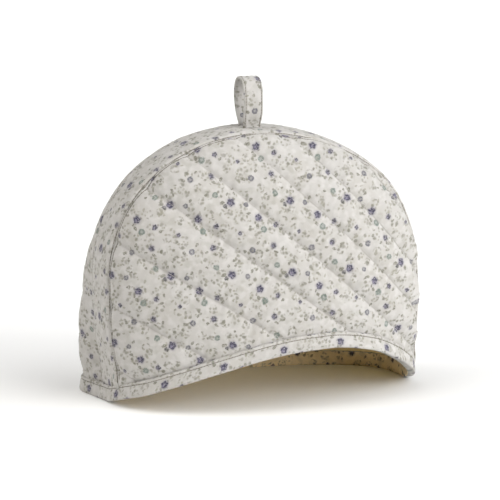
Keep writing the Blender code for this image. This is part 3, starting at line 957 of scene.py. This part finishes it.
def small_floral_print(settings):
    """A shader group: the print's colour at a place on the cloth, in millimetres."""
    tree = bpy.data.node_groups.new("small floral print", "ShaderNodeTree")
    tree.interface.new_socket("Place", in_out="INPUT", socket_type="NodeSocketVector")
    tree.interface.new_socket("Ground", in_out="INPUT", socket_type="NodeSocketColor")
    tree.interface.new_socket("Colour", in_out="OUTPUT", socket_type="NodeSocketColor")
    start, end = tree.nodes.new("NodeGroupInput"), tree.nodes.new("NodeGroupOutput")
    wander = wire(tree, "ShaderNodeTexNoise", {"Vector": start.outputs["Place"], "Scale": 0.38})
    away = vector(tree, "SUBTRACT", wander.outputs["Color"], (0.5, 0.5, 0.5))
    away = vector(tree, "MULTIPLY", away, (2.2, 2.2, 0))
    place = vector(tree, "ADD", start.outputs["Place"], away)
    grain = wire(tree, "ShaderNodeTexNoise", {"Vector": place, "Scale": 0.8, "Detail": 1.0})
    patchy = edge_mask(tree, grain.outputs["Fac"], 0.22, 0.58)
    inks = {name: (*getattr(settings, name), 1) for name in ("navy", "violet", "slate", "blue", "green")}
    leaf, sprig = (*settings.leaf, 1), (*settings.sprig, 1)
    blush = wire(tree, "ShaderNodeTexNoise", {"Vector": place, "Scale": 0.11, "Detail": 1.0})
    blushed = edge_mask(tree, blush.outputs["Fac"], 0.52, 0.68, 0.22)
    colour = blend_colour(tree, blushed, start.outputs["Ground"], sprig)
    spaced = {"Vector": place, "Scale": 1 / SPRAY_SPACING, "Randomness": 0.9}
    sprays = wire(tree, "ShaderNodeTexVoronoi", spaced, voronoi_dimensions="2D")
    sprays = edge_mask(tree, sprays.outputs["Distance"], 0.42, 0.32)
    colour = scattered_dabs(tree, place, sprays, 3.9, colour, sprig, 0.8)
    colour = scattered_dabs(tree, place, sprays, 5.2, colour, leaf, 0.82)
    pale = dabs_mask(tree, place, SPRIGS, settings, 0.6)
    colour = blend_colour(tree, pale, colour, sprig)
    leaves = number(tree, "MULTIPLY", dabs_mask(tree, place, LEAVES, settings, 0.9), patchy)
    colour = blend_colour(tree, leaves, colour, leaf)
    for row in RINGS:
        reach = vector(tree, "LENGTH", repeat_place(tree, place, row, settings))
        centre = edge_mask(tree, reach, row["radius"] * 1.3, row["radius"] * 0.3, 0.42)
        colour = blend_colour(tree, centre, colour, inks[row["ink"]])
        band = number(tree, "ABSOLUTE", number(tree, "SUBTRACT", reach, row["radius"] * 0.74))
        ring = edge_mask(tree, band, row["radius"] * 0.55, row["radius"] * 0.08, 0.78)
        ring = number(tree, "MULTIPLY", ring, patchy)
        colour = blend_colour(tree, ring, colour, inks[row["ink"]])
    for row in FLOWERS:
        local = repeat_place(tree, place, row, settings)
        reach = vector(tree, "LENGTH", local)
        split = wire(tree, "ShaderNodeSeparateXYZ", {0: local})
        turn = number(tree, "ARCTAN2", split.outputs["Y"], split.outputs["X"])
        turn = number(tree, "MULTIPLY_ADD", turn, row["petals"], np.radians(row["turn"]) * row["petals"])
        wave = number(tree, "COSINE", turn)
        rim = number(tree, "MULTIPLY_ADD", wave, row["radius"] * 0.1, row["radius"] * 0.9)
        share = number(tree, "DIVIDE", reach, rim)
        halo = edge_mask(tree, reach, row["radius"] * 1.6, row["radius"] * 0.6, 0.45)
        colour = blend_colour(tree, halo, colour, inks["violet"])
        petals = number(tree, "MULTIPLY", edge_mask(tree, share, 1.2, 0.75, 0.97), patchy)
        colour = blend_colour(tree, petals, colour, inks[row["ink"]])
        beside = vector(tree, "ADD", local, (row["radius"] * 0.25, row["radius"] * 0.2, 0))
        eye = edge_mask(tree, vector(tree, "LENGTH", beside), row["radius"] * 0.5, row["radius"] * 0.1, 0.75)
        colour = blend_colour(tree, eye, colour, inks["violet"])
    tree.links.new(colour, end.inputs["Colour"])
    return tree


def weave_bump(tree, place, pitch, strength, shader):
    """A plain weave of this pitch and a few slubs, raised on the shader's normal."""
    split = wire(tree, "ShaderNodeSeparateXYZ", {0: place})
    waves = [
        number(tree, "SINE", number(tree, "MULTIPLY", split.outputs[axis], 2 * np.pi / pitch))
        for axis in ("X", "Y")
    ]
    threads = number(tree, "MULTIPLY", waves[0], waves[1])
    stretch = vector(tree, "MULTIPLY", place, (0.25, 1.6, 1))
    slubs = wire(tree, "ShaderNodeTexNoise", {"Vector": stretch, "Scale": 0.9, "Detail": 2.0})
    crumple = wire(tree, "ShaderNodeTexNoise", {"Vector": place, "Scale": 0.09, "Detail": 2.0})
    height = number(tree, "MULTIPLY_ADD", threads, 0.35, slubs.outputs["Fac"])
    height = number(tree, "MULTIPLY_ADD", crumple.outputs["Fac"], 5.0, height)
    bump = wire(
        tree, "ShaderNodeBump", {"Height": height, "Strength": strength, "Distance": 0.12 * MM}
    )
    tree.links.new(bump.outputs["Normal"], shader.inputs["Normal"])


def cloth_material(name, ground, settings, printed, weave):
    """Matt woven cotton, plain or printed, on the piece's own cloth coordinates."""
    material = bpy.data.materials.new(name)
    material.use_nodes = True
    tree = material.node_tree
    shader = tree.nodes["Principled BSDF"]
    shader.inputs["Sheen Weight"].default_value = 0.18
    shader.inputs["Sheen Roughness"].default_value = 0.5
    shader.inputs["Specular IOR Level"].default_value = 0.2
    cloth = wire(tree, "ShaderNodeUVMap", {}, uv_map="cloth")
    place = vector(tree, "MULTIPLY", cloth.outputs["UV"], (10, 10, 0))
    place = vector(tree, "ADD", place, (settings.shift_x / MM, settings.shift_y / MM, 0))
    mottle = wire(tree, "ShaderNodeTexNoise", {"Vector": place, "Scale": 0.035, "Detail": 3.0})
    tone = edge_mask(tree, mottle.outputs["Fac"], 0.3, 0.7)
    deeper = tuple(c * k for c, k in zip(ground, (0.95, 0.94, 0.915)))
    paler = tuple(c * 1.07 for c in ground)
    blotch = wire(tree, "ShaderNodeTexNoise", {"Vector": place, "Scale": 0.13, "Detail": 2.0})
    light = edge_mask(tree, blotch.outputs["Fac"], 0.45, 0.65)
    colour = blend_colour(tree, tone, (*ground, 1), (*deeper, 1))
    colour = blend_colour(tree, light, colour, (*paler, 1))
    if printed:
        ink = tree.nodes.new("ShaderNodeGroup")
        ink.node_tree = printed
        for label, socket in {"Place": place, "Ground": colour}.items():
            tree.links.new(socket, ink.inputs[label])
        colour = ink.outputs["Colour"]
    tree.links.new(colour, shader.inputs["Base Color"])
    rough = wire(tree, "ShaderNodeMapRange", {"Value": mottle.outputs["Fac"], "To Min": 0.82, "To Max": 0.95})
    tree.links.new(rough.outputs["Result"], shader.inputs["Roughness"])
    weave_bump(tree, place, weave / MM, 0.5, shader)
    return material


def thread_material(name, colour):
    """Twisted sewing thread."""
    material = bpy.data.materials.new(name)
    material.use_nodes = True
    tree = material.node_tree
    shader = tree.nodes["Principled BSDF"]
    shader.inputs["Roughness"].default_value = 0.7
    shader.inputs["Sheen Weight"].default_value = 0.2
    place = tree.nodes.new("ShaderNodeTexCoord").outputs["Object"]
    twist = wire(tree, "ShaderNodeTexNoise", {"Vector": place, "Scale": 900.0, "Detail": 1.0})
    darker = tuple(c * 0.8 for c in colour)
    shade = blend_colour(tree, twist.outputs["Fac"], (*darker, 1), (*colour, 1))
    tree.links.new(shade, shader.inputs["Base Color"])
    bump = wire(
        tree, "ShaderNodeBump", {"Height": twist.outputs["Fac"], "Strength": 0.4, "Distance": 0.05 * MM}
    )
    tree.links.new(bump.outputs["Normal"], shader.inputs["Normal"])
    return material


def shared_materials(settings):
    """The materials that several pieces share, made once."""
    found = bpy.data.materials.get("printed cotton")
    if not found:
        printed = small_floral_print(settings.print)
        cloth = settings.cloth
        cloth_material("printed cotton", cloth.cotton, settings.print, printed, cloth.weave_pitch)
        # The turned cotton's warm tan ground is painted warm bounce light for the band's shaded inside.
        cloth_material("turned cotton painted warm shade", cloth.turned, settings.print, printed, cloth.weave_pitch)
        cloth_material("lining cotton", cloth.lining, settings.print, None, cloth.weave_pitch)
        # The seam thread's dark brown is painted shade of the seam and topstitch grooves.
        thread_material("seam thread painted shade", cloth.thread)
        thread_material("quilting thread", cloth.quilting_thread)
    names = ("printed cotton", "lining cotton", "turned cotton painted warm shade", "seam thread painted shade", "quilting thread")
    return {name: bpy.data.materials[name] for name in names}


# The studio's wide lights: where each one stands, its strength and its width in degrees.
SOFT_LIGHTS = (
    {"name": "key", "toward": (0.6, -0.45, 0.9), "strength": 1.15, "width": 60, "tint": (1.0, 1.0, 1.0)},
    {"name": "front", "toward": (0.62, -1.0, 0.34), "strength": 2.4, "width": 40, "tint": (1.0, 0.985, 0.95)},
    {"name": "side", "toward": (1.0, -0.5, 0.5), "strength": 1.15, "width": 40, "tint": (0.98, 1.0, 1.03)},
    {"name": "rear", "toward": (-0.35, 0.12, 0.9), "strength": 1.45, "width": 50, "tint": (1.0, 1.0, 1.0)},
    {"name": "fill", "toward": (-1.0, -0.05, 0.45), "strength": 1.2, "width": 60, "tint": (1.0, 0.955, 0.88)},
)


class ClothSettings(bpy.types.PropertyGroup):
    """Sizes and colours of the cotton, its quilting and its thread."""

    quilt_depth: FloatProperty(
        name="Quilting Depth", description="How far a quilting line is drawn in",
        default=4.1 * MM, min=0.0, max=5 * MM, subtype="DISTANCE", unit="LENGTH",
    )
    pucker_height: FloatProperty(
        name="Pucker Height", description="Height of the small tucks beside a quilting line",
        default=0.75 * MM, min=0.0, max=2 * MM, subtype="DISTANCE", unit="LENGTH",
    )
    seam_depth: FloatProperty(
        name="Seam Depth", description="How deep the ditch of a seam is",
        default=1.6 * MM, min=0.0, max=3 * MM, subtype="DISTANCE", unit="LENGTH",
    )
    topstitch_inset: FloatProperty(
        name="Topstitch Inset", description="Distance from a seam to its topstitching",
        default=3.2 * MM, min=1 * MM, max=15 * MM, subtype="DISTANCE", unit="LENGTH",
    )
    stitch_length: FloatProperty(
        name="Stitch Length", description="Length of one stitch",
        default=3.0 * MM, min=1 * MM, max=6 * MM, subtype="DISTANCE", unit="LENGTH",
    )
    stitch_gap: FloatProperty(
        name="Stitch Gap",
        description="Gap between stitches, as a share of a stitch, below 0 where they overlap",
        default=-0.12, min=-0.3, max=1.0, subtype="FACTOR",
    )
    thread_width: FloatProperty(
        name="Thread Width", description="Width of the sewing thread",
        default=0.55 * MM, min=0.1 * MM, max=1 * MM, subtype="DISTANCE", unit="LENGTH",
    )
    weave_pitch: FloatProperty(
        name="Weave Pitch", description="Distance between two threads of the weave",
        default=0.5 * MM, min=0.2 * MM, max=2 * MM, subtype="DISTANCE", unit="LENGTH",
    )
    cotton: FloatVectorProperty(
        name="Cotton", description="Ground colour of the printed cotton",
        default=(0.445, 0.432, 0.418), min=0.0, max=1.0, subtype="COLOR",
    )
    # Turned cotton's ground: the band's inside is the same pale printed cotton; its warm tan here is painted
    # warm bounce light of the shaded inside, while the print on it is real.
    turned: FloatVectorProperty(
        name="Turned Cotton Painted Warm Shade", description="Ground colour of the printed cotton's wrong side",
        default=(0.84, 0.69, 0.45), min=0.0, max=1.0, subtype="COLOR",
    )
    lining: FloatVectorProperty(
        name="Lining", description="Colour of the plain cotton inside",
        default=(0.95, 0.78, 0.43), min=0.0, max=1.0, subtype="COLOR",
    )
    quilting_thread: FloatVectorProperty(
        name="Quilting Thread", description="Colour of the thread in the quilting",
        default=(0.42, 0.40, 0.37), min=0.0, max=1.0, subtype="COLOR",
    )
    # Seam thread colour: a dark brown that paints the shade of the seam and topstitch grooves; the real
    # thread is pale like the cloth.
    thread: FloatVectorProperty(
        name="Seam Thread Painted Shade", description="Colour of the thread along seams and edges",
        default=(0.125, 0.105, 0.07), min=0.0, max=1.0, subtype="COLOR",
    )


class PrintSettings(bpy.types.PropertyGroup):
    """Repeat and inks of the floral print."""

    repeat_width: FloatProperty(
        name="Repeat Width", description="Width of one repeat of the print",
        default=57.5 * MM, min=2 * CM, max=20 * CM, subtype="DISTANCE", unit="LENGTH",
    )
    repeat_height: FloatProperty(
        name="Repeat Height", description="Height of one repeat of the print",
        default=65 * MM, min=2 * CM, max=20 * CM, subtype="DISTANCE", unit="LENGTH",
    )
    shift_x: FloatProperty(
        name="Shift Across", description="Moves the print across the cloth",
        default=0.0, subtype="DISTANCE", unit="LENGTH",
    )
    shift_y: FloatProperty(
        name="Shift Up", description="Moves the print along the cloth",
        default=0.0, subtype="DISTANCE", unit="LENGTH",
    )
    navy: FloatVectorProperty(
        name="Navy", description="Ink of the large flowers",
        default=(0.038, 0.035, 0.066), min=0.0, max=1.0, subtype="COLOR",
    )
    violet: FloatVectorProperty(
        name="Violet", description="Ink around the flowers",
        default=(0.205, 0.19, 0.26), min=0.0, max=1.0, subtype="COLOR",
    )
    slate: FloatVectorProperty(
        name="Slate", description="Ink of the small flowers",
        default=(0.052, 0.049, 0.062), min=0.0, max=1.0, subtype="COLOR",
    )
    blue: FloatVectorProperty(
        name="Blue", description="Ink of the blue buds",
        default=(0.062, 0.062, 0.090), min=0.0, max=1.0, subtype="COLOR",
    )
    green: FloatVectorProperty(
        name="Green", description="Ink of the green buds",
        default=(0.092, 0.130, 0.112), min=0.0, max=1.0, subtype="COLOR",
    )
    leaf: FloatVectorProperty(
        name="Leaf", description="Ink of the leaves",
        default=(0.155, 0.150, 0.118), min=0.0, max=1.0, subtype="COLOR",
    )
    sprig: FloatVectorProperty(
        name="Sprig", description="Ink of the pale sprigs",
        default=(0.235, 0.228, 0.180), min=0.0, max=1.0, subtype="COLOR",
    )


class StageSettings(bpy.types.PropertyGroup):
    """Camera and soft studio light."""

    camera_distance: FloatProperty(
        name="Camera Distance", description="Distance from the camera to the cosy's middle",
        default=2.0, min=0.5, max=10.0, subtype="DISTANCE", unit="LENGTH",
    )
    lens: FloatProperty(
        name="Lens", description="Focal length", default=151.2, min=20.0, max=300.0,
    )
    sky: FloatProperty(
        name="Sky", description="Strength of the even light from all round", default=0.05, min=0.0, max=3.0,
    )
    lights: FloatProperty(
        name="Lights", description="Strength of the soft lights, as a share", default=1.0, min=0.0, max=5.0,
    )


class CosySettings(bpy.types.PropertyGroup):
    """All settings of the tea cosy."""

    cloth: PointerProperty(type=ClothSettings)
    print: PointerProperty(type=PrintSettings)
    stage: PointerProperty(type=StageSettings)


def sew_piece(context, node, names, make):
    """Sews one piece with its stitches, ties it to the root body and hides its solid in the frame."""
    settings = context.scene.tea_cosy
    shared = shared_materials(settings)
    piece, lines = make(node + "_cloth", settings.cloth, [shared[name] for name in names])
    for kind, places in lines.items():
        # Seam and edge lines take the dark thread whose colour is painted groove shade.
        thread = shared["quilting thread" if kind == "quilting" else "seam thread painted shade"]
        sew_stitches(f"{node}_{kind}", places, settings.cloth, thread)
    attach(piece, "root")
    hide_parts(node)
    return {"FINISHED"}


QUILTED = ("printed cotton", "lining cotton")


class COSY_OT_front(bpy.types.Operator):
    """Sew the quilted front panel"""

    bl_idname = "cosy.front"
    bl_label = "Front Panel"

    def execute(self, context):
        make = partial(make_panel, "front")
        return sew_piece(context, "front_panel", QUILTED, make)


class COSY_OT_back(bpy.types.Operator):
    """Sew the quilted back panel"""

    bl_idname = "cosy.back"
    bl_label = "Back Panel"

    def execute(self, context):
        make = partial(make_panel, "back")
        return sew_piece(context, "back_panel", QUILTED, make)


class COSY_OT_gusset(bpy.types.Operator):
    """Sew the gusset between the two panels"""

    bl_idname = "cosy.gusset"
    bl_label = "Gusset"

    def execute(self, context):
        return sew_piece(context, "gusset", QUILTED, make_gusset)


class COSY_OT_band(bpy.types.Operator):
    """Sew the folded band round the hem"""

    bl_idname = "cosy.band"
    bl_label = "Hem Band"

    def execute(self, context):
        # The band's inside takes the turned cotton, whose warm tan ground is painted warm bounce light.
        names = ("printed cotton", "turned cotton painted warm shade")
        return sew_piece(context, "hem_band", names, make_band)


class COSY_OT_loop(bpy.types.Operator):
    """Sew the hanging loop"""

    bl_idname = "cosy.loop"
    bl_label = "Hanging Loop"

    def execute(self, context):
        names = ("printed cotton", "printed cotton")
        return sew_piece(context, "loop", names, make_loop)


class COSY_OT_stage(bpy.types.Operator):
    """Set up the pale floor, the soft light and the camera"""

    bl_idname = "cosy.stage"
    bl_label = "Studio"

    def execute(self, context):
        stage = context.scene.tea_cosy.stage
        make_floor()
        make_lights(context.scene, stage)
        make_camera(context.scene, stage)
        context.scene.view_settings.view_transform = "Standard"
        return {"FINISHED"}


def make_floor():
    """A wide pale floor with a smooth paper finish."""
    mesh = bpy.data.meshes.new("floor")
    corners = [(x * FLOOR_REACH, y * FLOOR_REACH, 0) for x, y in ((-1, -1), (1, -1), (1, 1), (-1, 1))]
    mesh.from_pydata(corners, [], [(0, 1, 2, 3)])
    material = bpy.data.materials.new("paper floor")
    material.use_nodes = True
    tree = material.node_tree
    shader = tree.nodes["Principled BSDF"]
    place = tree.nodes.new("ShaderNodeTexCoord").outputs["Object"]
    fibres = wire(tree, "ShaderNodeTexNoise", {"Vector": place, "Scale": 4.0})
    shade = blend_colour(tree, fibres.outputs["Fac"], (0.90, 0.90, 0.895, 1), (0.93, 0.93, 0.925, 1))
    tree.links.new(shade, shader.inputs["Base Color"])
    shader.inputs["Roughness"].default_value = 0.95
    shader.inputs["Specular IOR Level"].default_value = 0.1
    mesh.materials.append(material)
    floor = bpy.data.objects.new("floor", mesh)
    bpy.context.scene.collection.objects.link(floor)


def make_lights(scene, stage):
    """Even light from all round and wide soft lights, the strongest from the right and above."""
    world = bpy.data.worlds.new("studio")
    world.use_nodes = True
    sky = world.node_tree.nodes["Background"]
    sky.inputs["Color"].default_value = (1.0, 0.995, 0.985, 1)
    sky.inputs["Strength"].default_value = stage.sky
    scene.world = world
    for row in SOFT_LIGHTS:
        data = bpy.data.lights.new(row["name"], "SUN")
        data.energy = row["strength"] * stage.lights
        data.color = row["tint"]
        data.angle = np.radians(row["width"])
        light = bpy.data.objects.new(row["name"], data)
        toward = Vector(row["toward"])
        light.rotation_mode = "QUATERNION"
        light.rotation_quaternion = toward.to_track_quat("Z", "Y")
        light.location = toward * 3
        scene.collection.objects.link(light)


def make_camera(scene, stage):
    """The camera at the photo's angle: a little to the left of the front and a little above."""
    turn, drop = np.radians(CAMERA_TURN), np.radians(CAMERA_DROP)
    look = Vector((np.sin(turn) * np.cos(drop), np.cos(turn) * np.cos(drop), -np.sin(drop)))
    target = Vector(CAMERA_TARGET)
    data = bpy.data.cameras.new("camera")
    data.lens = stage.lens
    data.sensor_width = 36.0
    data.clip_end = 100.0
    camera = bpy.data.objects.new("camera", data)
    camera.location = target - look * stage.camera_distance
    camera.rotation_mode = "QUATERNION"
    camera.rotation_quaternion = look.to_track_quat("-Z", "Y")
    scene.collection.objects.link(camera)
    scene.camera = camera


STEPS = (COSY_OT_front, COSY_OT_back, COSY_OT_gusset, COSY_OT_band, COSY_OT_loop, COSY_OT_stage)


class COSY_PT_panel(bpy.types.Panel):
    """Lists the tea cosy's steps and settings"""

    bl_idname = "COSY_PT_panel"
    bl_label = "Tea Cosy"
    bl_space_type = "VIEW_3D"
    bl_region_type = "UI"
    bl_category = "Tea Cosy"

    def draw(self, context):
        settings = context.scene.tea_cosy
        for step in STEPS:
            self.layout.operator(step.bl_idname)
        for group in (settings.cloth, settings.print, settings.stage):
            box = self.layout.box()
            for label in group.__annotations__:
                box.prop(group, label)


CLASSES = (ClothSettings, PrintSettings, StageSettings, CosySettings, *STEPS, COSY_PT_panel)


def register():
    for item in CLASSES:
        bpy.utils.register_class(item)
    bpy.types.Scene.tea_cosy = PointerProperty(type=CosySettings)


def unregister():
    del bpy.types.Scene.tea_cosy
    for item in reversed(CLASSES):
        bpy.utils.unregister_class(item)


def main():
    register()
    bpy.ops.cosy.front()
    bpy.ops.cosy.back()
    bpy.ops.cosy.gusset()
    bpy.ops.cosy.band()
    bpy.ops.cosy.loop()
    bpy.ops.cosy.stage()


if __name__ == "__main__":
    main()
